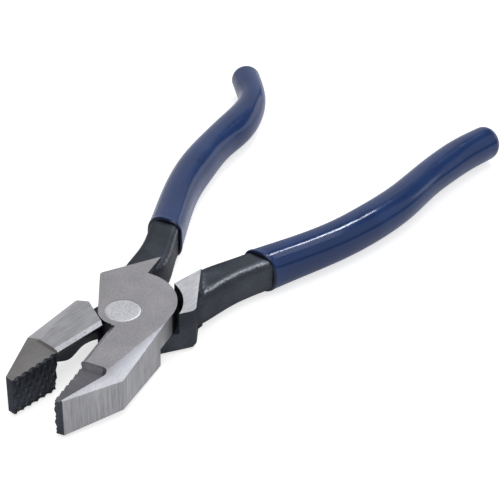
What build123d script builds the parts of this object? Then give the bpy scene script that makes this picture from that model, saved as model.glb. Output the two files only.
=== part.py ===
"""Lineman pliers of the ironworker pattern: two forged halves, a rivet and two dipped grips.

Millimetres. The joint axis is the Z axis, the underside of the head lies on Z = 0, and the
handles run along +Y from the joint. Each half is drawn in its own frame, closed, with its
jaw on +X and its handle on -X, and with its lapped plate in the upper half of the head. The
second half is the same pattern turned over about the Y axis.
"""
import os
from collections import namedtuple
from math import acos, atan2, cos, hypot, radians, sin, sqrt, tan

from build123d import *

os.makedirs("parts", exist_ok=True)

# Head
head_t = 16.0            # thickness of the head through the joint
half_w = 15.8            # joint axis to the outer wall of a jaw
open_half = 9.38         # degrees that each half is turned out of the closed position
lap_gap = 0.10           # between the two lapped plates
side_gap = 0.30          # between a plate and the shoulder or recess it turns in
middle = head_t / 2
lap_z = middle + lap_gap / 2

# Jaw
nose_y = -47.8           # front of the nose
nose_w = 3.2             # centre line to the outer corner of the nose
nose_drop = 1.25         # the nose is this much thinner on each face
knife_gap = 0.05         # centre line to a cutting edge, closed
tooth_gap = -0.15        # the tooth tips stand a little past the centre line
grip_rear_y = -29.0      # rear end of the toothed gripping face

# Lapped plate and the root of the handle
disc_r = 18.0            # round rear edge of the plate
disc_y = 4.7             # its centre lies this far behind the joint axis
boss_r = 8.1             # round front edge of the plate, about the joint axis
heel_fillet = 1.8        # outer corner where plate and handle meet
heel_break = 1.4         # edge that the die leaves off the second half's heel, underneath
inner_x = -1.8           # inner edge of the handle root, at the plate
shoulder_turn = 24.2     # degrees that the jaw's rear shoulder leans from the X axis
shoulder_cut = 4.3       # corner taken off the second half's shoulder
disc_x = half_w - disc_r

# Rivet
rivet_r = 6.1            # face of the rivet
shank_r = 4.8
head_depth = 1.8         # height of the conical rivet head
rivet_fit = 0.02         # clearance in the first half, which holds the rivet
turn_fit = 0.06          # running clearance in the second half

# Cutting knives, near the upper face on both halves
knife_z = 15.15          # height of the cutting edges
bevel_w = 1.5            # short upper bevel
scoop_front_y = -28.7    # front wall of the deep relief at the cutting edge
scoop_boss_r = boss_r + 0.5  # round wall that the relief leaves about the joint
scoop_rim = [            # the relief's rim on the lower face, from its front wall to the joint
    (11.0, -30.4), (11.9, -24.5), (11.2, -20.6), (9.5, -17.2), (9.8, -13.5), (11.2, -9.0),
    (11.3, -5.0), (scoop_boss_r, 0),
]

# Ground facets on the outer edges of a jaw, and the outline's corners that differ:
# cheek, where the wall turns to the nose; drop, how far below the face the facets leave the
# wall there; facet_rear and facet_front, the facet's line on the face; heel, the outer corner
# of the handle root; corner, its radius; spur, the rear end of the ground face
Forging = namedtuple("Forging", "cheek drop facet_rear facet_front heel corner spur")
hook_forging = Forging(
    (15.3, -31.0), 1.8, (15.3, -2.3), (9.8, -28.7), (-16.6, 16.3), heel_fillet, (-1.8, 33.4),
)
straight_forging = Forging(
    (15.3, -28.0), 3.3, (15.3, -5.0), (8.2, -28.6), (-17.6, 16.3), 3.0, (-2.6, 35.0),
)
under_drop = 2.8         # the lower faces' facets are the same on both halves
under_rear = (11.6, -2.3)
under_front = (6.4, -28.7)

# Lowered fronts of the jaws
pocket_depth = 1.9       # milled pocket on the first half
pocket_edge = (11.2, -29.2)
pocket_rear_y = -28.4    # its rear wall at the knife
pocket_nose_w = 3.6
pocket_fillet = 2.6
pocket_draft = 38        # degrees that its walls lean out
step_depth = 0.8         # shallow step on the second half and on both lower faces
step_y = -29.7

# Teeth: two sets of V grooves that cross and leave rows of diamonds
tooth_pitch = 2.95       # from tooth to tooth along the jaw
tooth_rise = 5.0         # from tooth to tooth across the jaw
tooth_depth = 0.9

# Handles: the line of each tang, joint end first, with the section there
collar_at = (-11.0, 55.8)
bare_line = [(-7.3, 17.0), (-7.2, 27.0), (-6.8, 36.0), (-8.5, 45.7)]
bare_w = [10.6, 11.4, 12.6, 11.1]
bare_t = [13.2, 13.2, 13.2, 13.1]
grip_line = [collar_at, (-15.15, 72.0), (-19.0, 90.0), (-20.6, 108.0), (-20.35, 126.0)]
grip_w = [10.9, 10.6, 10.7, 11.4, 11.3]
grip_t = [12.9, 11.7, 11.3, 11.1, 10.4]
straight_end = [(-18.2, 144.0), (-17.1, 160.0), (-17.1, 172.0), (-18.3, 184.2)]
straight_w = [10.8, 11.3, 11.2, 10.7]
straight_t = [9.8, 10.3, 10.9, 11.3]
hook_end = [(-19.1, 138.0), (-18.9, 152.0), (-21.5, 164.4), (-26.3, 173.3), (-30.4, 179.8)]
hook_w = [12.5, 10.7, 8.9, 9.3, 9.7]
hook_t = [10.4, 10.4, 10.3, 10.1, 9.7]
gap_round = 2.2          # rounded edges of the bare tang, towards the other handle
palm_round = 3.4         # rounder edges on the side that lies in the palm
buried_round = 3.8       # edges under the grip
root_slope = 1.4         # how far the shoulder runs out where it falls to the tang
root_palm_x = -10.6      # ends of that slope
root_gap_x = -2.6

# Dipped grips
dip = 1.25               # thickness of the vinyl
collar_tilt = -5         # degrees that the rim leans from the X axis
collar_w = 13.4          # the rolled rim stands out a little from the skin behind it
collar_t = 15.8
collar_len = 2.6
collar_round = 1.0
end_cap = 5.0            # the vinyl runs this far past the tang and is rounded off
end_round = 4.4
gap_corner = 0.81        # how full the skin's corners are at the collar, towards the other handle
palm_corner = 0.74       # and on the palm side
round_corner = 0.7071    # an ellipse's corners, as the skin has at its far end


def tangent_point(point, radius):
    """Where a line from a point touches a circle about the joint, on the joint's front."""
    turn = atan2(point[1], point[0]) + acos(radius / hypot(*point))
    return (radius * cos(turn), radius * sin(turn))


def shoulder_y(x):
    """The jaw's rear shoulder: a line that keeps side_gap from the other plate's boss."""
    lean = radians(shoulder_turn)
    return x * tan(lean) - (boss_r + side_gap) / cos(lean)


def wall_end(forging):
    """Where the jaw's outer wall meets the rear shoulder."""
    run = (half_w - forging.cheek[0]) / (disc_y - forging.cheek[1])
    lean = radians(shoulder_turn)
    at_axis = forging.cheek[0] - run * forging.cheek[1]
    y = (at_axis * tan(lean) - (boss_r + side_gap) / cos(lean)) / (1 - run * tan(lean))
    return (at_axis + run * y, y)


def jaw_points(forging):
    """The jaw's outline from the rear of its gripping face round the nose to its wall."""
    return [
        (knife_gap, grip_rear_y),
        (tooth_gap, grip_rear_y),
        (tooth_gap, nose_y),
        (nose_w, nose_y),
        forging.cheek,
    ]


def plate_layer(forging):
    """Jaw, lapped plate and handle root in the layer that holds the plate."""
    waist = tangent_point(forging.heel, boss_r)
    disc_end = (inner_x, disc_y + sqrt(disc_r**2 - (inner_x - disc_x) ** 2))
    with BuildSketch() as layer:
        with BuildLine():
            Polyline((0, -boss_r), (knife_gap, -boss_r), *jaw_points(forging), (half_w, disc_y))
            RadiusArc((half_w, disc_y), disc_end, -disc_r)
            Polyline(disc_end, forging.spur, forging.heel, waist)
            RadiusArc(waist, (0, -boss_r), -boss_r)
        make_face()
        fillet(layer.vertices().sort_by_distance(forging.heel)[0], forging.corner)
    return layer.sketch


def jaw_block(forging, corner_cut):
    """The jaw in the layer where the other half's plate turns behind it."""
    rear = [wall_end(forging), (knife_gap, shoulder_y(knife_gap))]
    with BuildSketch() as layer:
        with BuildLine():
            Polyline(*jaw_points(forging), *rear, close=True)
        make_face()
        corner = layer.vertices().sort_by_distance(rear[0])[0]
        if corner_cut:
            chamfer(corner, shoulder_cut)
        else:
            fillet(corner, heel_fillet)
    return layer.sketch


def handle_block(forging):
    """The handle root in the layer where the other half's round plate seats against it."""
    waist = tangent_point(forging.heel, boss_r)
    with BuildSketch() as layer:
        with BuildLine():
            Polyline((inner_x, disc_y), (inner_x, disc_y + disc_r), forging.spur, forging.heel, waist, close=True)
        make_face()
        fillet(layer.vertices().sort_by_distance(forging.heel)[0], forging.corner)
        with Locations((-disc_x, disc_y)):
            Circle(disc_r + side_gap, mode=Mode.SUBTRACT)
    return layer.sketch


def tang(points, widths, depths):
    """The forged handle from the head to its end, under the grip."""
    spine = Spline(*[(x, y, middle) for x, y in points])
    with BuildPart() as bar:
        for point, width, depth in zip(points, widths, depths):
            bare = point[1] <= collar_at[1]
            with BuildSketch(cross_plane(spine, point)) as section:
                Rectangle(width, depth)
                fillet(section.vertices().group_by(Axis.X)[0], palm_round if bare else buried_round)
                fillet(section.vertices().group_by(Axis.X)[-1], gap_round if bare else buried_round)
        loft()
    return bar.part


def root_wedge(forging):
    """The short slope by which the head's face falls to the tang along the shoulder."""
    run = Vector(*forging.heel) - Vector(*forging.spur)
    start, end = (
        Vector(*forging.spur) + run * ((x - forging.spur[0]) / run.X) for x in (root_gap_x, root_palm_x)
    )
    drop = (head_t - bare_t[0]) / 2
    with BuildPart() as wedge:
        with BuildSketch(Plane(origin=(start.X, start.Y, head_t), x_dir=(0, 0, 1), z_dir=run)):
            Polygon((0, 0), (-2 * drop, 0), (-2 * drop, root_slope), (-drop, root_slope), align=None)
        extrude(amount=(end - start).length)
    return wedge.part


def cross_plane(spine, point):
    """A plane square to the spine at a point, with its X axis level."""
    place = Vector(point[0], point[1], middle)
    along = spine.tangent_at(spine.param_at_point(place))
    return Plane(origin=place, x_dir=along.cross(Vector(0, 0, 1)), z_dir=along)


def full_section(width, depth, gap_side, palm_side):
    """A rounded section whose corners are as full as the factors for its two sides say."""
    a, b = width / 2, depth / 2
    with BuildSketch() as section:
        with BuildLine():
            Spline(
                (a, 0), (a * gap_side, b * gap_side), (0, b), (-a * palm_side, b * palm_side),
                (-a, 0), (-a * palm_side, -b * palm_side), (0, -b), (a * gap_side, -b * gap_side),
                periodic=True,
            )
        make_face()
    return section.sketch


def ground_plane(first, second, third):
    """The plane of a ground facet through three points, facing away from the forging."""
    along = Vector(second) - Vector(first)
    upright = along.cross(Vector(third) - Vector(first))
    return Plane(origin=first, x_dir=along, z_dir=upright if upright.Z > 0 else upright * -1)


def facet_tool(cheek, drop, rear, front):
    """What is ground off above the two facets on the outer edges of a jaw."""
    corner = (*cheek, head_t - drop)
    inner = (*front, head_t)
    reach = 4 * head_t
    with BuildPart() as tool:
        with BuildSketch(ground_plane((*rear, head_t), inner, corner)):
            Rectangle(2 * reach, 2 * reach)
        extrude(amount=middle)
        with BuildSketch(ground_plane(corner, (nose_w, nose_y, head_t - nose_drop), inner)):
            Rectangle(2 * reach, 2 * reach)
        extrude(amount=middle)
    return tool.part


def heel_tool(forging):
    """What the die leaves off the handle root's outer edge, from where the boss leaves it."""
    waist = Vector(*tangent_point(forging.heel, boss_r))
    along = (Vector(*forging.heel) - waist).normalized()
    level = Vector(0, 0, head_t)
    lead = sqrt(boss_r**2 - (boss_r - heel_break) ** 2)
    start = waist - along * lead + level - Vector(0, 0, heel_break)
    inner = waist * (1 - heel_break / boss_r) + level
    with BuildPart() as tool:
        with BuildSketch(ground_plane(start, start + along, inner)):
            Rectangle(8 * head_t, 8 * head_t, align=(Align.MIN, Align.CENTER))
        extrude(amount=middle)
    return tool.part


def knife_tool():
    """The knife's short bevel above the cutting edge and its deep relief below it."""
    back = -head_t
    with BuildPart() as tool:
        with BuildSketch(Plane.XZ.offset(-grip_rear_y)):
            with BuildLine():
                Polyline((back, knife_z), (knife_gap, knife_z), (bevel_w, head_t), (back, head_t), close=True)
            make_face()
        extrude(amount=grip_rear_y)
        with BuildSketch(Plane.XY):
            with BuildLine():
                Spline(*scoop_rim)
                Polyline(scoop_rim[-1], (back, 0), (back, scoop_rim[0][1]), scoop_rim[0])
            make_face()
        with BuildSketch(Plane.XY.offset(knife_z)):
            with BuildLine():
                Line((knife_gap, scoop_front_y), (knife_gap, 0))
                Polyline((knife_gap, 0), (back, 0), (back, scoop_front_y), (knife_gap, scoop_front_y))
            make_face()
        loft(ruled=True)
        Cylinder(scoop_boss_r, 3 * head_t, mode=Mode.SUBTRACT)
    return tool.part


def front_tool(depth, rear_y):
    """The lowered front of a jaw: a step at the knife's end, falling on to the nose."""
    with BuildPart() as tool:
        with BuildSketch(Plane.YZ.offset(-head_t)):
            with BuildLine():
                Polyline(
                    (rear_y + depth + head_t, 2 * head_t), (rear_y, head_t - depth),
                    (nose_y, head_t - nose_drop), (2 * nose_y, head_t - nose_drop),
                    (2 * nose_y, 2 * head_t), close=True,
                )
            make_face()
        extrude(amount=3 * head_t)
    return tool.part


def pocket_tool():
    """The milled pocket in front of the first half's knife, open to the nose and the teeth."""
    with BuildPart() as tool:
        with BuildSketch(Plane.XY.offset(head_t)) as outline:
            with BuildLine():
                Polyline(
                    (-head_t, pocket_rear_y), pocket_edge, (pocket_nose_w, nose_y),
                    (pocket_nose_w, 2 * nose_y), (-head_t, 2 * nose_y), close=True,
                )
            make_face()
            fillet(outline.vertices().sort_by_distance(pocket_edge)[0], pocket_fillet)
        extrude(amount=-pocket_depth, taper=pocket_draft)
    return tool.part


def tooth_tool():
    """Crossed V grooves that leave rows of diamond teeth on the gripping face."""
    slant = atan2(tooth_rise, tooth_pitch)
    step = tooth_pitch * sin(slant)
    length = grip_rear_y - nose_y
    count = int((length + head_t) / step / 2)
    centre = (tooth_gap, nose_y + length / 2, middle)
    with BuildPart() as tool:
        for lean in (slant, -slant):
            across = Plane(origin=centre, x_dir=(1, 0, 0), z_dir=(0, cos(lean), sin(lean)))
            with BuildSketch(across.offset(-length)):
                for number in range(-count, count + 1):
                    with Locations((0, number * step)):
                        add(groove(tooth_depth, step))
            extrude(amount=2 * length)
        with Locations(centre):
            Box(head_t, length, 2 * head_t, mode=Mode.INTERSECT)
    return tool.part


def groove(depth, pitch):
    """The section of one V groove, its mouth on the tooth tips."""
    with BuildSketch() as section:
        with BuildLine():
            Polyline((-depth, -pitch), (depth, 0), (-depth, pitch), close=True)
        make_face()
    return section.sketch


def turned_over(tool, keep):
    """A tool as drawn, or turned over to work on the other face of the head."""
    return tool if keep else mirror(tool, about=Plane.XY.offset(middle), mode=Mode.PRIVATE)


def forged_half(forging, knife_up, handle):
    """One forging in its own closed frame, with its plate in the upper layer."""
    if knife_up:
        front = pocket_tool()
    else:
        front = front_tool(step_depth, step_y)
    with BuildPart() as half:
        add(tang(*handle))
        add(root_wedge(forging))
        add(turned_over(root_wedge(forging), False))
        with BuildSketch():
            with Locations((-disc_x, disc_y)):
                Circle(disc_r + side_gap)
        extrude(amount=lap_z, mode=Mode.SUBTRACT)
        with BuildSketch(Plane.XY.offset(lap_z)):
            add(plate_layer(forging))
        extrude(amount=head_t - lap_z)
        with BuildSketch():
            add(jaw_block(forging, corner_cut=not knife_up))
            add(handle_block(forging))
        extrude(amount=lap_z)
        add(turned_over(knife_tool(), knife_up), mode=Mode.SUBTRACT)
        add(turned_over(front, knife_up), mode=Mode.SUBTRACT)
        add(turned_over(front_tool(step_depth, step_y), not knife_up), mode=Mode.SUBTRACT)
        upper = facet_tool(forging.cheek, forging.drop, forging.facet_rear, forging.facet_front)
        under = facet_tool(forging.cheek, under_drop, under_rear, under_front)
        add(turned_over(upper, knife_up), mode=Mode.SUBTRACT)
        add(turned_over(under, not knife_up), mode=Mode.SUBTRACT)
        add(tooth_tool(), mode=Mode.SUBTRACT)
        if not knife_up:
            add(heel_tool(forging), mode=Mode.SUBTRACT)
    return half.part


def rivet_shape(clearance):
    """The rivet with its two conical heads, or with a clearance the seat that is cut for it."""
    shank, face = shank_r + clearance, rivet_r + clearance
    with BuildPart() as rivet:
        with BuildSketch(Plane.XZ):
            with BuildLine():
                Polyline(
                    (0, 0), (face, 0), (shank, head_depth), (shank, head_t - head_depth),
                    (face, head_t), (0, head_t), close=True,
                )
            make_face()
        revolve(axis=Axis.Z)
    return rivet.part


def dipped_grip(points, widths, depths):
    """The vinyl skin on a tang, from its rolled rim to its round end."""
    spine = Spline(*[(x, y, middle) for x, y in points])
    stations = list(zip(points, widths, depths))[len(bare_line) - 1:]
    lean = radians(collar_tilt)
    rim = Plane(
        origin=(*collar_at, middle),
        x_dir=(cos(lean), sin(lean), 0),
        z_dir=(-sin(lean), cos(lean), 0),
    )
    with BuildPart() as roll:
        with BuildSketch(rim):
            add(full_section(collar_w, collar_t, gap_corner, palm_corner))
        extrude(amount=collar_len)
        fillet(roll.edges(), collar_round)
    with BuildPart() as grip:
        for number, (point, width, depth) in enumerate(stations):
            share = number / (len(stations) - 1)
            corners = (corner + (round_corner - corner) * share for corner in (gap_corner, palm_corner))
            skin_section = full_section(width + 2 * dip, depth + 2 * dip, *corners)
            section_plane = cross_plane(spine, point)
            with BuildSketch(section_plane):
                add(skin_section)
        loft()
        with BuildSketch(section_plane):
            add(skin_section)
        extrude(amount=end_cap)
        tip = section_plane.offset(end_cap).origin
        fillet(grip.edges().sort_by_distance(tip)[0], end_round)
        split(bisect_by=rim)
    with BuildPart() as skin:
        add(grip.part + roll.part)
        add(tang(points, widths, depths), mode=Mode.SUBTRACT)
    return skin.part


hook_frame = Plane(
    origin=(0, 0, 0),
    x_dir=(cos(radians(open_half)), sin(radians(open_half)), 0),
    z_dir=(0, 0, 1),
)
straight_frame = Plane(
    origin=(0, 0, head_t),
    x_dir=(-cos(radians(open_half)), sin(radians(open_half)), 0),
    z_dir=(0, 0, -1),
)
root = (bare_line + grip_line, bare_w + grip_w, bare_t + grip_t)
hook_tang = (root[0] + hook_end, root[1] + hook_w, root[2] + hook_t)
straight_tang = (root[0] + straight_end, root[1] + straight_w, root[2] + straight_t)

with BuildPart() as hook_half:
    with Locations(hook_frame.location):
        add(forged_half(hook_forging, True, hook_tang))
    add(rivet_shape(rivet_fit), mode=Mode.SUBTRACT)

with BuildPart() as straight_half:
    with Locations(straight_frame.location):
        add(forged_half(straight_forging, False, straight_tang))
    add(rivet_shape(turn_fit), mode=Mode.SUBTRACT)

with BuildPart() as pivot_rivet:
    add(rivet_shape(0))

with BuildPart() as hook_grip:
    with Locations(hook_frame.location):
        add(dipped_grip(*hook_tang))

with BuildPart() as straight_grip:
    with Locations(straight_frame.location):
        add(dipped_grip(*straight_tang))

hook_half.part.label = "hook_half"
straight_half.part.label = "straight_half"
pivot_rivet.part.label = "pivot_rivet"
hook_grip.part.label = "hook_grip"
straight_grip.part.label = "straight_grip"
for piece in (hook_half, straight_half, pivot_rivet, hook_grip, straight_grip):
    export_step(piece.part, f"parts/{piece.part.label}.step")
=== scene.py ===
import math

import bmesh
import bpy
import numpy as np
from mathutils import Matrix, Vector


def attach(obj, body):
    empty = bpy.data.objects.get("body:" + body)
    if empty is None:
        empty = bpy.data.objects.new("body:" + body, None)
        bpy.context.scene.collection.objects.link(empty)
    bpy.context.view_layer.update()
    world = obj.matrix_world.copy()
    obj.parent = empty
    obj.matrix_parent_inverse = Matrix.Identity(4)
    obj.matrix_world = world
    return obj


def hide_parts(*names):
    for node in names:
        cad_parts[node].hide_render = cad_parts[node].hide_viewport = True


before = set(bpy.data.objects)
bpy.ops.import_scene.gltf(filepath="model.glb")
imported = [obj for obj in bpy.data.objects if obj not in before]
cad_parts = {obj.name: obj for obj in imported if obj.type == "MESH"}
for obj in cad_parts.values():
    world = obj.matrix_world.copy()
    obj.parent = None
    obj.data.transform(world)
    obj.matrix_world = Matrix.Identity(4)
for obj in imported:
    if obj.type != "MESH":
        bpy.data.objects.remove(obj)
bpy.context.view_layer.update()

# ---- The two forged halves ---------------------------------------------------------------
# Each half is one drop forging in alloy steel with a black oxide skin from the quench. The
# head's faces and the jaws' outer walls are then ground bright, and the fronts are milled.
MM = 0.001
HEAD_T = 16.0
# Each half is turned out of its closed place. Its own two axes run towards its jaw's outer
# wall, and back along the tool. Sizes in a half's own axes are in mm.
TURN = math.radians(9.38)
hook_axes = (Vector((math.cos(TURN), math.sin(TURN), 0)), Vector((-math.sin(TURN), math.cos(TURN), 0)))
straight_axes = (Vector((-math.cos(TURN), math.sin(TURN), 0)), Vector((math.sin(TURN), math.cos(TURN), 0)))


def linear(hex_colour):
    """An sRGB hex colour as the linear colour that a shader socket takes."""
    parts = [int(hex_colour[i:i + 2], 16) / 255 for i in (1, 3, 5)]
    return [p / 12.92 if p <= 0.04045 else ((p + 0.055) / 1.055) ** 2.4 for p in parts] + [1.0]


def add_node(tree, kind, settings=None, links=None):
    """One node with its settings and the sockets that feed it."""
    node = tree.nodes.new(kind)
    for key, value in (settings or {}).items():
        if isinstance(key, int) or key in node.inputs:
            node.inputs[key].default_value = value
        else:
            setattr(node, key, value)
    for key, source in (links or {}).items():
        tree.links.new(source, node.inputs[key])
    return node


def new_finish(name):
    """An empty material with its tree, its shader and its output."""
    material = bpy.data.materials.new(name)
    material.use_nodes = True
    tree = material.node_tree
    tree.nodes.clear()
    shader = add_node(tree, "ShaderNodeBsdfPrincipled")
    add_node(tree, "ShaderNodeOutputMaterial", {}, {"Surface": shader.outputs[0]})
    return material, tree, shader


def ground_steel(name, light, dark, roughness, lie, blend, turn=0.0, relief=0.12, rolled=None):
    """Ground steel: light and dark strokes that run as far along x, y and z as lie says in mm.

    x and y are turned by turn, to lie along a half's own axes. A small blend parts the strokes
    sharply, and relief is how strongly they catch the light. A facet takes the colour rolled
    where its grinding rolls over into the face.
    """
    patch = 9.0
    patch_share = 0.35
    roll_depth = 1.1
    middle = 0.68
    material, tree, shader = new_finish(name)
    coords = add_node(tree, "ShaderNodeTexCoord")
    turned = add_node(
        tree, "ShaderNodeMapping", {"Rotation": (0, 0, -turn)}, {"Vector": coords.outputs["Object"]},
    )
    scaled = add_node(
        tree, "ShaderNodeMapping", {"Scale": [1 / (step * MM) for step in lie]},
        {"Vector": turned.outputs[0]},
    )
    strokes = add_node(
        tree, "ShaderNodeTexNoise", {"Scale": 1.0, "Detail": 5.0, "Roughness": 0.7},
        {"Vector": scaled.outputs[0]},
    )
    patches = add_node(
        tree, "ShaderNodeTexNoise", {"Scale": 1 / (patch * MM), "Detail": 2.0},
        {"Vector": coords.outputs["Object"]},
    )
    uneven = add_node(
        tree, "ShaderNodeMath", {"operation": "MULTIPLY_ADD", 1: patch_share},
        {0: patches.outputs["Fac"], 2: strokes.outputs["Fac"]},
    )
    ramp = add_node(tree, "ShaderNodeValToRGB", {}, {"Fac": uneven.outputs[0]})
    first, last = ramp.color_ramp.elements
    first.position, last.position = middle - blend, middle + blend
    first.color, last.color = linear(dark), linear(light)
    colour = ramp.outputs[0]
    if rolled:
        height = add_node(tree, "ShaderNodeSeparateXYZ", {}, {"Vector": coords.outputs["Object"]})
        near_face = add_node(
            tree, "ShaderNodeMapRange",
            {"From Min": (HEAD_T - roll_depth) * MM, "From Max": HEAD_T * MM, "To Min": 0.0, "To Max": 1.0},
            {"Value": height.outputs["Z"]},
        )
        rolling = add_node(
            tree, "ShaderNodeMix", {"data_type": "RGBA", 7: linear(rolled)},
            {"Factor": near_face.outputs[0], 6: colour},
        )
        colour = rolling.outputs[2]
    tree.links.new(colour, shader.inputs["Base Color"])
    rough = add_node(
        tree, "ShaderNodeMapRange",
        {"From Min": 0.3, "From Max": 0.7, "To Min": roughness - 0.05, "To Max": roughness + 0.07},
        {"Value": strokes.outputs["Fac"]},
    )
    tree.links.new(rough.outputs[0], shader.inputs["Roughness"])
    bump = add_node(
        tree, "ShaderNodeBump", {"Strength": relief, "Distance": 0.05 * MM},
        {"Height": strokes.outputs["Fac"]},
    )
    tree.links.new(bump.outputs[0], shader.inputs["Normal"])
    shader.inputs["Metallic"].default_value = 1.0
    return material


def oxide_steel(name, light, dark, bare_and_lit, roughness, grain):
    """Black oxide skin of a forging, with scale of the grain given in mm.

    Where the mark of rubbing and painted light is set, the bare colour shows through in specks:
    partly steel rubbed bare, partly painted highlight and painted reflection.
    """
    patch = 14.0
    speck = 0.9
    mark_share = 0.55
    first_shown, all_shown, most_shown = 0.72, 1.08, 0.75
    material, tree, shader = new_finish(name)
    coords = add_node(tree, "ShaderNodeTexCoord")
    scale = add_node(
        tree, "ShaderNodeTexNoise", {"Scale": 1 / (grain * MM), "Detail": 6.0, "Roughness": 0.65},
        {"Vector": coords.outputs["Object"]},
    )
    patches = add_node(
        tree, "ShaderNodeTexNoise", {"Scale": 1 / (patch * MM), "Detail": 3.0},
        {"Vector": coords.outputs["Object"]},
    )
    mottled = add_node(
        tree, "ShaderNodeMath", {"operation": "MULTIPLY"},
        {0: scale.outputs["Fac"], 1: patches.outputs["Fac"]},
    )
    ramp = add_node(tree, "ShaderNodeValToRGB", {}, {"Fac": mottled.outputs[0]})
    first, last = ramp.color_ramp.elements
    first.position, last.position = 0.12, 0.42
    first.color, last.color = linear(dark), linear(light)
    rub_and_light = add_node(tree, "ShaderNodeAttribute", {"attribute_name": "rub_and_painted_light"})
    specks = add_node(
        tree, "ShaderNodeTexNoise", {"Scale": 1 / (speck * MM), "Detail": 5.0, "Roughness": 0.75},
        {"Vector": coords.outputs["Object"]},
    )
    marked_specks = add_node(
        tree, "ShaderNodeMath", {"operation": "MULTIPLY_ADD", 1: mark_share},
        {0: rub_and_light.outputs["Fac"], 2: specks.outputs["Fac"]},
    )
    shown = add_node(
        tree, "ShaderNodeMapRange",
        {"From Min": first_shown, "From Max": all_shown, "To Min": 0.0, "To Max": most_shown},
        {"Value": marked_specks.outputs[0]},
    )
    worn_and_lit = add_node(
        tree, "ShaderNodeMix", {"data_type": "RGBA", 7: linear(bare_and_lit)},
        {"Factor": shown.outputs[0], 6: ramp.outputs[0]},
    )
    tree.links.new(worn_and_lit.outputs[2], shader.inputs["Base Color"])
    rough = add_node(
        tree, "ShaderNodeMapRange",
        {"From Min": 0.3, "From Max": 0.7, "To Min": roughness - 0.06, "To Max": roughness + 0.1},
        {"Value": scale.outputs["Fac"]},
    )
    tree.links.new(rough.outputs[0], shader.inputs["Roughness"])
    bump = add_node(
        tree, "ShaderNodeBump", {"Strength": 0.45, "Distance": 0.14 * MM},
        {"Height": scale.outputs["Fac"]},
    )
    tree.links.new(bump.outputs[0], shader.inputs["Normal"])
    shader.inputs["Metallic"].default_value = 0.85
    shader.inputs["Specular Tint"].default_value = linear("#BCBCBC")
    return material


# A real grinding stroke or speck of scale is under 0.1 mm wide. All are drawn as coarse as
# they need to be to show.
# A flat stone leaves the first half's face an even, fine-grained grey. The second half's face
# shows its strokes, which run along the jaw.
hook_face = ground_steel(
    "ground_steel_face", "#CBC8CC", "#A6A4A7", 0.4, (0.8, 0.5, 0.8), 0.17, TURN, relief=0.18,
)
straight_face = ground_steel(
    "ground_steel_face_bright", "#D2D2D6", "#A8A8AC", 0.42, (0.45, 7.0, 3.0), 0.22, -TURN,
)
# The facets are ground along the jaw and mirror more light than the faces do.
hook_facet = ground_steel(
    "ground_steel_facet", "#BEBEC2", "#98989D", 0.4, (0.5, 1.6, 1.0), 0.22, TURN, rolled="#8C8B8F",
)
straight_facet = ground_steel(
    "ground_steel_facet_bright", "#E0E0E6", "#B8B8BE", 0.38, (0.3, 6.0, 1.0), 0.24, -TURN,
    rolled="#C8C8CC",
)
# The knife's bevel is ground across, which breaks its light up into short bars.
bevel_ground = ground_steel(
    "ground_steel_knife_bevel", "#D8D8DE", "#86868C", 0.36, (0.9, 0.25, 1.0), 0.22, -TURN,
)
# A belt grinds the walls and leaves fine lines from the upper face to the lower.
wall_ground = ground_steel("ground_steel_wall", "#C6C6CA", "#98989C", 0.34, (0.4, 0.4, 14.0), 0.16)
# A mill leaves the fronts darker and duller than a stone does.
pocket_milled = ground_steel("milled_steel_pocket", "#8E8E93", "#76767B", 0.5, (3.0, 0.4, 3.0), 0.2)
step_milled = ground_steel("milled_steel_step", "#A19F9E", "#8A8887", 0.5, (0.4, 4.0, 3.0), 0.2, -TURN)
# The heel's face is fresh from the stone, nearly white, with soft strokes along it.
heel_ground = ground_steel(
    "ground_steel_heel", "#F2F2F5", "#C6C6CB", 0.46, (0.35, 5.0, 3.0), 0.2, -TURN,
)
# The oxide is a dull blue black, and its scale breaks up what it mirrors.
# Its bare colour is worn steel, and it is also the painted highlight and the painted reflection on the
# tangs and the teeth's tips.
black_oxide = oxide_steel("black_oxide_skin", "#5F646D", "#3A3D44", "#C8CCD2", 0.42, 0.5)
# Where each finish stands in a forging's list of finishes.
SKIN, FACE, FACET, WALL, FRONT, HEEL, BEVEL = range(7)
# How far forward the jaw's lowered front starts, and how far below a face the knife's bevel,
# the lowered front and the facets reach.
FRONT_Y = -28.0
BEVEL_DEPTH = 1.6
FRONT_DEPTH = 2.3
FACET_DEPTH = 5.0


def finish_of(normal, middle, axes):
    """Which finish a face of a forging has, from where it lies and which way it looks.

    level is 1 for a face that lies flat and 0 for an upright wall, and out is how far it looks
    towards the half's jaw side.
    """
    x, y, z = middle.dot(axes[0]) / MM, middle.dot(axes[1]) / MM, middle.z / MM
    out = normal.dot(axes[0])
    level = abs(normal.z)
    from_face = min(z, HEAD_T - z)
    in_jaw = y < 0 and x > -1
    if level > 0.995 and from_face < 0.05:
        return HEEL if y > 0 and x < 0 and z > HEAD_T / 2 and axes is straight_axes else FACE
    if in_jaw and level > 0.6 and out < -0.3 and z > HEAD_T - BEVEL_DEPTH and y > FRONT_Y:
        return BEVEL
    if in_jaw and level > 0.5 and y < FRONT_Y and from_face < FRONT_DEPTH:
        if out < 0.05 or axes is straight_axes and z > HEAD_T / 2:
            return FRONT
    if in_jaw and level > 0.8 and from_face < FACET_DEPTH and out > 0.05:
        return FACET
    if in_jaw and level < 0.1 and out > 0.5 and x > 3:
        return WALL
    return SKIN


# The gripping face lies in front of TEETH_Y and is cut TOOTH_DEPTH deep. Its tips reach
# TIP_X. The rearmost tooth is stoned back, so the jaws close on the teeth in front of it.
TEETH_Y = -28.5
TOOTH_DEPTH = 0.9
TIP_X = 0.1
# The teeth's tips get the bare colour. This is partly skin rubbed through and partly a painted highlight
# where the crests catch the light.
TIP_RUB_AND_HIGHLIGHT = 0.62
FIRST_TOOTH = (-30, -29)
FIRST_TOOTH_RELIEF = 0.06 * MM
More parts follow.
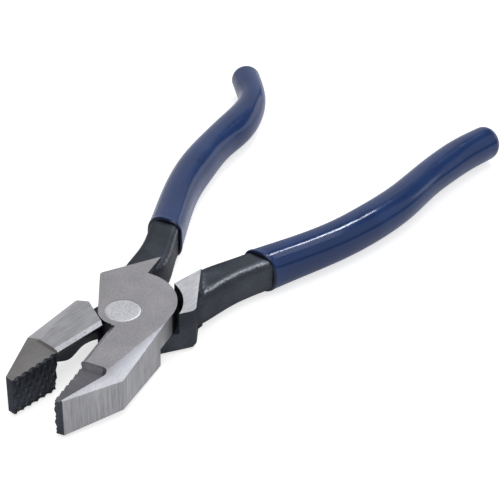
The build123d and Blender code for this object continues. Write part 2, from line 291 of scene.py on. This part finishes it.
# Where a tang's edge towards +X is painted lighter in the bare colour: on which side of the half's
# own axes it lies, from where on in mm, the tilt that is lightest and how far either side of that it
# fades out, in degrees, and how strong it is. It fades in, and ends under the grip's rim. On the
# second half it is partly rubbed-through skin and partly a painted highlight along the ridge's round.
# On the first half it spreads over the side face as a painted reflection, laid on in specks like wear.
HOOK_RUB_AND_PAINTED_REFLECTION = (1, 28, 68, 40, 0.8)
STRAIGHT_RUB_AND_PAINTED_HIGHLIGHT = (-1, 20, 29, 20, 1.0)
RUB_AND_LIGHT_FADE = 6
RUB_AND_LIGHT_END = 58


def mark_rub_and_painted_light(mesh, axes, rub_and_light_edge):
    """How much bare colour each point gets on the teeth's tips and one edge of the tang: partly
    rubbed-through skin, partly painted highlight and painted reflection.
    """
    rub_and_light = mesh.attributes.new("rub_and_painted_light", "FLOAT", "POINT")
    side, start, brightest_tilt, spread, most = rub_and_light_edge
    for vert in mesh.vertices:
        x, y = vert.co.dot(axes[0]) / MM, vert.co.dot(axes[1]) / MM
        if y < TEETH_Y and x < TIP_X:
            rub_and_light.data[vert.index].value = TIP_RUB_AND_HIGHLIGHT
        # Along the tang's edge: rubbed skin and painted highlight on the second half, painted reflection on
        # the first.
        out = side * vert.normal.dot(axes[0])
        if start < y < RUB_AND_LIGHT_END and out > 0.1:
            tilt = math.degrees(math.atan2(out, abs(vert.normal.z)))
            on_edge = max(0.0, 1 - abs(tilt - brightest_tilt) / spread)
            rub_and_light.data[vert.index].value = most * on_edge * min(1.0, (y - start) / RUB_AND_LIGHT_FADE)


# The die leaves the lower corner of the second half's heel round. The corner's place and the
# way that the round faces are in the half's own axes.
HEEL_CORNER = (-16.9, 17.1)
HEEL_BEARING = math.radians(165)
HEEL_ROUND = 2.3 * MM


def round_heel(work, axes):
    """Cut the heel's lower corner back to a round, one leaning plane after another."""
    corner = (axes[0] * HEEL_CORNER[0] + axes[1] * HEEL_CORNER[1]) * MM
    out = axes[0] * math.cos(HEEL_BEARING) + axes[1] * math.sin(HEEL_BEARING)
    centre = corner - out * HEEL_ROUND + Vector((0, 0, HEEL_ROUND))
    for lean in (24, 45, 66):
        normal = out * math.cos(math.radians(lean)) - Vector((0, 0, math.sin(math.radians(lean))))
        near = [f for f in work.faces if any((v.co - corner).length < 2 * HEEL_ROUND for v in f.verts)]
        parts = list(dict.fromkeys(part for f in near for part in (f, *f.edges, *f.verts)))
        cut = bmesh.ops.bisect_plane(
            work, geom=parts, dist=1e-7, plane_co=centre + normal * HEEL_ROUND, plane_no=normal,
            clear_outer=True,
        )
        rim = [part for part in cut["geom_cut"] if isinstance(part, bmesh.types.BMEdge)]
        bmesh.ops.holes_fill(work, edges=rim)


# The solid's facets are joined where they lie flat to within FLAT. Its convex corners from
# CORNER up are broken by EDGE_BREAK, as a wheel leaves them, and it shades sharp from SHARP up.
FLAT = math.radians(0.4)
CORNER = math.radians(17)
SHARP = math.radians(34)
EDGE_BREAK = 0.2 * MM


def forged_piece(name, node, body, axes, finishes, rub_and_light_edge):
    """A clean copy of a forging's solid, its finishes laid on face by face, its edges broken."""
    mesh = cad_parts[node].data.copy()
    mesh.name = name
    mesh.materials.clear()
    for finish in finishes:
        mesh.materials.append(finish)
    piece = bpy.data.objects.new(name, mesh)
    bpy.context.scene.collection.objects.link(piece)
    work = bmesh.new()
    work.from_mesh(mesh)
    bmesh.ops.remove_doubles(work, verts=work.verts, dist=0.002 * MM)
    bmesh.ops.dissolve_limit(work, angle_limit=FLAT, verts=work.verts, edges=work.edges)
    for vert in work.verts:
        on_tooth = FIRST_TOOTH[0] * MM < vert.co.dot(axes[1]) < FIRST_TOOTH[1] * MM
        if on_tooth and vert.co.dot(axes[0]) < TIP_X * MM:
            vert.co += axes[0] * FIRST_TOOTH_RELIEF
    if axes is straight_axes:
        round_heel(work, axes)
    for face in work.faces:
        face.material_index = finish_of(face.normal, face.calc_center_bounds(), axes)
    corners = []
    for edge in work.edges:
        middle = (edge.verts[0].co + edge.verts[1].co) / 2
        toothed = middle.dot(axes[0]) < TOOTH_DEPTH * MM and middle.dot(axes[1]) < TEETH_Y * MM
        if len(edge.link_faces) == 2 and edge.is_convex and not toothed:
            if edge.calc_face_angle() > CORNER:
                corners.append(edge)
    bmesh.ops.bevel(
        work, geom=corners, offset=EDGE_BREAK, offset_type="OFFSET", segments=2, profile=0.5,
        affect="EDGES", clamp_overlap=True, material=-1,
    )
    work.to_mesh(mesh)
    work.free()
    mark_rub_and_painted_light(mesh, axes, rub_and_light_edge)
    mesh.set_sharp_from_angle(angle=SHARP)
    for polygon in mesh.polygons:
        polygon.use_smooth = True
    even = piece.modifiers.new("even_shading", "WEIGHTED_NORMAL")
    even.keep_sharp = True
    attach(piece, body)
    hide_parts(node)


forged_piece(
    "hook_forging", "hook_half", "hook_side", hook_axes,
    (black_oxide, hook_face, hook_facet, wall_ground, pocket_milled, heel_ground, bevel_ground),
    HOOK_RUB_AND_PAINTED_REFLECTION,
)
forged_piece(
    "straight_forging", "straight_half", "straight_side", straight_axes,
    (black_oxide, straight_face, straight_facet, wall_ground, step_milled, heel_ground, bevel_ground),
    STRAIGHT_RUB_AND_PAINTED_HIGHLIGHT,
)

# ---- The rivet ---------------------------------------------------------------------------
# A steel rivet, headed hot into the countersinks on both sides and ground off flush, so its
# end shows as a bright disc with faint hammer and grinding marks.
rivet_ground = ground_steel(
    "ground_rivet_end", "#F8F8FC", "#CCCCD0", 0.46, (0.8, 0.6, 0.8), 0.14, relief=0.5,
)
RIVET_R = 6.1
SHANK_R = 4.8
HEAD_DEPTH = 1.8
RIVET_STEPS = 96


def lathe(name, profile, steps, finish):
    """A round piece turned about the joint's axis, from (radius, height) points in mm."""
    mesh = bpy.data.meshes.new(name)
    piece = bpy.data.objects.new(name, mesh)
    bpy.context.scene.collection.objects.link(piece)
    work = bmesh.new()
    rings = []
    turns = [2 * math.pi * i / steps for i in range(steps)]
    for radius, height in profile:
        if radius == 0:
            rings.append([work.verts.new((0, 0, height * MM))] * steps)
            continue
        rings.append([
            work.verts.new((radius * MM * math.cos(turn), radius * MM * math.sin(turn), height * MM))
            for turn in turns
        ])
    for low, high in zip(rings, rings[1:]):
        for i in range(steps):
            k = (i + 1) % steps
            corners = []
            for vert in (low[i], low[k], high[k], high[i]):
                if vert not in corners:
                    corners.append(vert)
            work.faces.new(corners)
    bmesh.ops.recalc_face_normals(work, faces=work.faces)
    work.to_mesh(mesh)
    work.free()
    mesh.materials.append(finish)
    for polygon in mesh.polygons:
        polygon.use_smooth = True
    mesh.set_sharp_from_angle(angle=math.radians(30))
    return piece


# From the shank up the conical head, over its rolled edge, to the middle of the ground end.
upper_end = [
    (SHANK_R, HEAD_T - HEAD_DEPTH), (RIVET_R - 0.01, HEAD_T - 0.16), (RIVET_R - 0.05, HEAD_T - 0.08),
    (RIVET_R - 0.16, HEAD_T - 0.03), (RIVET_R - 0.9, HEAD_T - 0.01), (0, HEAD_T),
]
lower_end = [(radius, HEAD_T - height) for radius, height in reversed(upper_end)]
rivet = lathe("headed_rivet", lower_end + upper_end, RIVET_STEPS, rivet_ground)
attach(rivet, "hook_side")
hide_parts("pivot_rivet")

# ---- The dipped grips --------------------------------------------------------------------
# Dark blue plastisol vinyl. The hot tangs are dipped and cured, which leaves a smooth glossy
# skin with a thick rolled rim at the collar and a blunt round end.


def dipped_vinyl(name, deep, pale, roughness):
    """Cured plastisol: glossy, with the slow ripples of the dip and a fine orange peel."""
    ripple_length = 11.0
    peel_length = 1.8
    peel_share = 0.06
    material, tree, shader = new_finish(name)
    coords = add_node(tree, "ShaderNodeTexCoord")
    ripple = add_node(
        tree, "ShaderNodeTexNoise", {"Scale": 1 / (ripple_length * MM), "Detail": 1.5},
        {"Vector": coords.outputs["Object"]},
    )
    peel = add_node(
        tree, "ShaderNodeTexNoise", {"Scale": 1 / (peel_length * MM), "Detail": 2.0},
        {"Vector": coords.outputs["Object"]},
    )
    height = add_node(
        tree, "ShaderNodeMath", {"operation": "MULTIPLY_ADD", 1: peel_share},
        {0: peel.outputs["Fac"], 2: ripple.outputs["Fac"]},
    )
    bump = add_node(
        tree, "ShaderNodeBump", {"Strength": 0.5, "Distance": 0.3 * MM}, {"Height": height.outputs[0]},
    )
    tree.links.new(bump.outputs[0], shader.inputs["Normal"])
    ramp = add_node(tree, "ShaderNodeValToRGB", {}, {"Fac": ripple.outputs["Fac"]})
    first, last = ramp.color_ramp.elements
    first.position, last.position = 0.3, 0.75
    first.color, last.color = linear(deep), linear(pale)
    tree.links.new(ramp.outputs[0], shader.inputs["Base Color"])
    rough = add_node(
        tree, "ShaderNodeMapRange",
        {"From Min": 0.3, "From Max": 0.7, "To Min": roughness - 0.03, "To Max": roughness + 0.05},
        {"Value": peel.outputs["Fac"]},
    )
    tree.links.new(rough.outputs[0], shader.inputs["Roughness"])
    shader.inputs["Sheen Weight"].default_value = 0.3
    shader.inputs["Sheen Roughness"].default_value = 0.35
    shader.inputs["Sheen Tint"].default_value = linear("#6A78D8")
    return material


# Deep navy with a wet shine. Its sheen stands for the pale bloom that vinyl shows edge on.
vinyl = dipped_vinyl("dipped_vinyl_navy", "#0A3066", "#133A74", 0.14)
# The rim is painted nearly black. This is partly its thicker vinyl and partly painted shade on its front.
vinyl_rim_painted_shade = dipped_vinyl("dipped_vinyl_rim_painted_shade", "#081431", "#0C1C40", 0.13)
# The tangs' middle lines under the vinyl in a half's own axes, with the tang's width and
# depth at each point. Both halves share the first five.
COLLAR_AT = (-11.0, 55.8)
grip_line = [COLLAR_AT, (-15.15, 72.0), (-19.0, 90.0), (-20.6, 108.0), (-20.35, 126.0)]
grip_w = [10.9, 10.6, 10.7, 11.4, 11.3]
grip_t = [12.9, 11.7, 11.3, 11.1, 10.4]
straight_line = grip_line + [(-18.2, 144.0), (-17.1, 160.0), (-17.1, 172.0), (-18.3, 184.2)]
straight_w = grip_w + [10.8, 11.3, 11.2, 10.7]
straight_t = grip_t + [9.8, 10.3, 10.9, 11.3]
hook_line = grip_line + [(-19.1, 138.0), (-18.9, 152.0), (-21.5, 164.4), (-26.3, 173.3), (-30.4, 179.8)]
hook_w = grip_w + [12.5, 10.7, 8.9, 9.3, 9.7]
hook_t = grip_t + [10.4, 10.4, 10.3, 10.1, 9.7]
# The vinyl's thickness, how far it reaches past the end of the line, and its end's round.
DIP = 1.25
END_REACH = 5.0
END_ROUND = 4.4
# The rim's tilt from square, and how far along the grip that tilt fades out.
COLLAR_TILT = math.radians(-5)
TILT_FADE = 9
# How full the section's corners are: towards the other handle and the palm at the collar, and
# at the end, where it is an ellipse.
GAP_CORNER, PALM_CORNER, ROUND_CORNER = 0.81, 0.74, 0.7071
# The rolled rim in section: how far behind its front each point lies, and how far it stands
# out from the skin. The first point is on the tang and the last is on the skin. The rim's darker
# colour covers its first few faces, as many as the count below. It is partly the thicker vinyl and
# partly painted shade on the rim's front.
rim_profile = [
    (0.9, -1.32), (0.45, -1.2), (0.15, -1.0), (0.0, -0.7), (0.02, -0.4), (0.2, -0.1),
    (0.55, 0.08), (1.0, 0.14), (1.5, 0.1), (2.1, 0.02), (2.8, 0.0),
]
SHADED_RIM_FACES = 6
# The rings of the skin: where they start, the step between them and the gap that they leave
# before the round end, in mm, the rings round the end, and the points in each.
SKIN_START = 3.8
RING_STEP = 1.25
RING_GAP = 0.6
END_RINGS = 12
RING_POINTS = 80


def smooth(knots, values, place):
    """A value read off a natural cubic spline through the values at the knots."""
    count = len(knots)
    gaps = np.diff(knots)
    slopes = np.diff(values) / gaps
    system = np.eye(count)
    bend = np.zeros(count)
    for i in range(1, count - 1):
        system[i, i - 1:i + 2] = gaps[i - 1], 2 * (gaps[i - 1] + gaps[i]), gaps[i]
        bend[i] = 6 * (slopes[i] - slopes[i - 1])
    bend = np.linalg.solve(system, bend)
    span = int(np.clip(np.searchsorted(knots, place) - 1, 0, count - 2))
    gap = gaps[span]
    near, far = place - knots[span], knots[span + 1] - place
    curve = (bend[span] * far ** 3 + bend[span + 1] * near ** 3) / (6 * gap)
    start = (values[span] / gap - bend[span] * gap / 6) * far
    return curve + start + (values[span + 1] / gap - bend[span + 1] * gap / 6) * near


def dipped_grip(name, node, body, axes, line, widths, depths):
    """One dipped sleeve: rolled rim, skin that follows the tang, blunt round end.

    Each section is a rounded square, with full corners at the collar and none at the end.
    """
    points = np.array(line)
    knots = np.concatenate(([0.0], np.cumsum(np.hypot(*np.diff(points, axis=0).T))))
    reach = knots[-1] + END_REACH
    places = list(rim_profile)
    places += [(s, 0.0) for s in np.arange(SKIN_START, reach - END_ROUND - RING_GAP, RING_STEP)]
    for turn in np.linspace(0, math.pi / 2, END_RINGS):
        places.append((reach - END_ROUND * (1 - math.sin(turn)), END_ROUND * (math.cos(turn) - 1)))
    mesh = bpy.data.meshes.new(name)
    piece = bpy.data.objects.new(name, mesh)
    bpy.context.scene.collection.objects.link(piece)
    work = bmesh.new()
    rings = []
    for s, lift in places:
        on_line = min(s, knots[-1])
        here, behind = (
            np.array([smooth(knots, points[:, k], at) for k in (0, 1)]) for at in (on_line, on_line - 0.01)
        )
        tangent = Vector(here - behind).normalized()
        side = Vector((tangent.y, -tangent.x))
        centre = Vector(here) + tangent * (s - on_line)
        half_w = smooth(knots, widths, on_line) / 2 + DIP + lift
        half_t = smooth(knots, depths, on_line) / 2 + DIP + lift
        share = s / reach
        gap_full = GAP_CORNER + (ROUND_CORNER - GAP_CORNER) * share
        palm_full = PALM_CORNER + (ROUND_CORNER - PALM_CORNER) * share
        square_to_line = math.atan2(side.y, side.x)
        lean = (COLLAR_TILT - square_to_line) * max(0.0, 1 - s / TILT_FADE)
        ring = []
        for number in range(RING_POINTS):
            angle = 2 * math.pi * number / RING_POINTS
            across, up = math.cos(angle), math.sin(angle)
            power = math.log(0.5) / math.log(gap_full if across > 0 else palm_full)
            spread = (abs(across / half_w) ** power + abs(up / half_t) ** power) ** (-1 / power)
            flat = centre + side * (across * spread) + tangent * (across * spread * math.tan(lean))
            place = axes[0] * flat.x + axes[1] * flat.y
            ring.append(work.verts.new((place.x * MM, place.y * MM, (HEAD_T / 2 + up * spread) * MM)))
        rings.append(ring)
    for k, (low, high) in enumerate(zip(rings, rings[1:])):
        for number in range(RING_POINTS):
            after = (number + 1) % RING_POINTS
            face = work.faces.new((low[number], low[after], high[after], high[number]))
            # The rim's faces take the darker vinyl, which is partly painted shade.
            face.material_index = 1 if k < SHADED_RIM_FACES else 0
    work.faces.new(rings[-1])
    bmesh.ops.recalc_face_normals(work, faces=work.faces)
    work.to_mesh(mesh)
    work.free()
    mesh.materials.append(vinyl)
    mesh.materials.append(vinyl_rim_painted_shade)
    for polygon in mesh.polygons:
        polygon.use_smooth = True
    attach(piece, body)
    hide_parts(node)


dipped_grip("hook_dipped_grip", "hook_grip", "hook_side", hook_axes, hook_line, hook_w, hook_t)
dipped_grip(
    "straight_dipped_grip", "straight_grip", "straight_side", straight_axes, straight_line,
    straight_w, straight_t,
)

# ---- Studio ------------------------------------------------------------------------------
# The tool lies on a wide sheet of white paper, which takes its soft shadow. The paper's glow
# is there for the camera, brighter far off, and faintly for what steel and vinyl mirror. Five
# softboxes light the tool, and one small hard lamp draws the streak along the grips.
PAPER_HALF = 4.0
PAPER_Z = -0.2 * MM
NEAR_GLOW, NEAR_END = 0.7, 0.3
FAR_GLOW, FAR_START = 1.0, 1.4
MIRRORED_GLOW = 0.2
floor_mesh = bpy.data.meshes.new("floor")
work = bmesh.new()
bmesh.ops.create_grid(work, x_segments=1, y_segments=1, size=PAPER_HALF)
work.to_mesh(floor_mesh)
work.free()
floor = bpy.data.objects.new("floor", floor_mesh)
floor.location = (0, 0, PAPER_Z)
bpy.context.scene.collection.objects.link(floor)
paper = bpy.data.materials.new("white_paper_sweep")
paper.use_nodes = True
tree = paper.node_tree
tree.nodes.clear()
path = add_node(tree, "ShaderNodeLightPath")
mirrored = add_node(
    tree, "ShaderNodeMath", {"operation": "MAXIMUM"},
    {0: path.outputs["Is Glossy Ray"], 1: path.outputs["Is Transmission Ray"]},
)
mirrored_glow = add_node(
    tree, "ShaderNodeMath", {"operation": "MULTIPLY", 1: MIRRORED_GLOW}, {0: mirrored.outputs[0]},
)
on_floor = add_node(tree, "ShaderNodeTexCoord")
away = add_node(
    tree, "ShaderNodeVectorMath", {"operation": "LENGTH"}, {0: on_floor.outputs["Object"]},
)
seen_glow = add_node(
    tree, "ShaderNodeMapRange",
    {"From Min": NEAR_END, "From Max": FAR_START, "To Min": NEAR_GLOW, "To Max": FAR_GLOW},
    {"Value": away.outputs["Value"]},
)
glow = add_node(
    tree, "ShaderNodeMath", {"operation": "MULTIPLY_ADD"},
    {0: path.outputs["Is Camera Ray"], 1: seen_glow.outputs[0], 2: mirrored_glow.outputs[0]},
)
paint = add_node(tree, "ShaderNodeBsdfDiffuse", {"Color": linear("#DCDCDC")})
light = add_node(tree, "ShaderNodeEmission", {}, {"Strength": glow.outputs[0]})
both = add_node(tree, "ShaderNodeAddShader", {}, {0: paint.outputs[0], 1: light.outputs[0]})
add_node(tree, "ShaderNodeOutputMaterial", {}, {"Surface": both.outputs[0]})
floor_mesh.materials.append(paper)

world = bpy.data.worlds.new("studio_room")
bpy.context.scene.world = world
world.use_nodes = True
world.node_tree.nodes["Background"].inputs["Color"].default_value = linear("#E8E8E8")
world.node_tree.nodes["Background"].inputs["Strength"].default_value = 0.3
TOOL_MIDDLE = (0.01, 0.06, 0.008)
STRAIGHT_GRIP_MIDDLE = (0.045, 0.08, 0.01)


def area_lamp(name, azimuth, elevation, distance, size, power, aim=TOOL_MIDDLE, tint="#FFFFFF"):
    """An area lamp at a bearing from +X and a height in degrees, turned to what it aims at."""
    lamp = bpy.data.lights.new(name, "AREA")
    lamp.shape = "RECTANGLE"
    lamp.size, lamp.size_y = size
    lamp.energy = power
    lamp.color = linear(tint)[:3]
    holder = bpy.data.objects.new(name, lamp)
    a, e = math.radians(azimuth), math.radians(elevation)
    toward = Vector((math.cos(a) * math.cos(e), math.sin(a) * math.cos(e), math.sin(e)))
    holder.location = Vector(aim) + toward * distance
    holder.rotation_euler = toward.to_track_quat("Z", "Y").to_euler()
    bpy.context.scene.collection.objects.link(holder)


area_lamp("key_lamp", 98, 48.5, 1.2, (0.13, 0.13), 1.6, STRAIGHT_GRIP_MIDDLE, "#ECF2FF")
area_lamp("overhead_softbox", 76, 71, 1.25, (1.1, 0.8), 3.9)
area_lamp("back_softbox", 132, 19, 1.3, (1.8, 0.8), 1.9)
area_lamp("low_side_softbox", 71, 12, 1.3, (0.9, 0.5), 1.2)
area_lamp("right_fill", 30, 30, 1.3, (1.2, 0.8), 1.15)
area_lamp("front_fill", 285, 60, 1.3, (1.1, 0.9), 4.0)

# ---- Camera ------------------------------------------------------------------------------
# A long lens looks down on the tool from in front of its jaws, to the right of its middle
# line. It is rolled by about a degree. Angles are in radians, and distances in metres.
AZIMUTH, ELEVATION, DISTANCE, ROLL = 0.541, 0.593, 0.5475, 0.023
target = Vector((0.010109, 0.063198, 0.008))
back = Vector((
    math.sin(AZIMUTH) * math.cos(ELEVATION),
    -math.cos(AZIMUTH) * math.cos(ELEVATION),
    math.sin(ELEVATION),
))
level = (-back).cross(Vector((0, 0, 1))).normalized()
upright = level.cross(-back)
right = math.cos(ROLL) * level + math.sin(ROLL) * upright
up = -math.sin(ROLL) * level + math.cos(ROLL) * upright
lens = bpy.data.cameras.new("camera")
lens.lens = 110.53
lens.sensor_width = 36.0
lens.clip_start = 0.01
camera = bpy.data.objects.new("camera", lens)
turned = Matrix((right, up, back)).transposed().to_4x4()
camera.matrix_world = Matrix.Translation(target + back * DISTANCE) @ turned
bpy.context.scene.collection.objects.link(camera)
bpy.context.scene.camera = camera
bpy.context.scene.view_settings.view_transform = "Standard"
